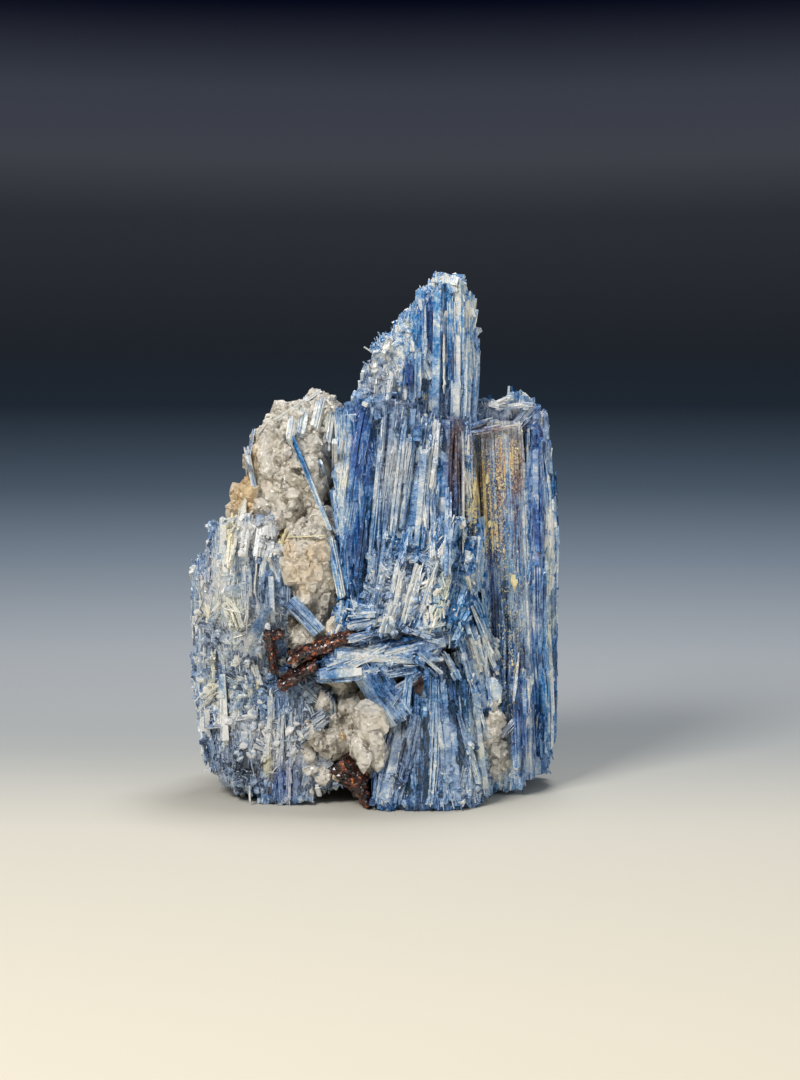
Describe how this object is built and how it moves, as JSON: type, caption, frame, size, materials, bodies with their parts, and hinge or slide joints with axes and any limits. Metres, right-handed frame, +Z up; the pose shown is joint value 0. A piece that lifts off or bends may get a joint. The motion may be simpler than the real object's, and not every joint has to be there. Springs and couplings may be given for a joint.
{
  "type": "kyanite blade cluster",
  "caption": "Free-standing mineral specimen: sheaves of blue kyanite blades grown through white quartz, with dark staurolite crystals.",
  "frame": {"origin": "middle of the bounding box's base, on the table that the specimen stands on", "axes": "+Z up, the way the specimen stands; the front, with the stained blade at its right, faces -Y; +X to the viewer's right"},
  "size_m": [0.091, 0.0536, 0.1279],
  "materials": {
    "kyanite": "striated, vitreous to pearly",
    "quartz": "granular, glassy to milky",
    "staurolite": "rough, vitreous"
  },
  "bodies": {
    "root": {"kyanite_back_sheaf": "kyanite", "kyanite_clear_rod": "kyanite", "kyanite_crossing_blades": "kyanite", "kyanite_diagonal_blade": "kyanite", "kyanite_edge_blades": "kyanite", "kyanite_feather_sheaf": "kyanite", "kyanite_foot_blades": "kyanite", "kyanite_front_spray": "kyanite", "kyanite_left_sheaf": "kyanite", "kyanite_long_needle": "kyanite", "kyanite_pocket_wedge": "kyanite", "kyanite_ridge_blades": "kyanite", "kyanite_short_needle": "kyanite", "kyanite_shoulder_fan": "kyanite", "kyanite_side_laths": "kyanite", "kyanite_side_splinter": "kyanite", "kyanite_spire": "kyanite", "kyanite_stained_blade": "kyanite", "quartz_matrix": "quartz", "quartz_side_lump": "quartz", "staurolite_bar": "staurolite", "staurolite_base": "staurolite", "staurolite_hook": "staurolite", "staurolite_prism": "staurolite", "staurolite_stub": "staurolite"}
  },
  "joints": []
}
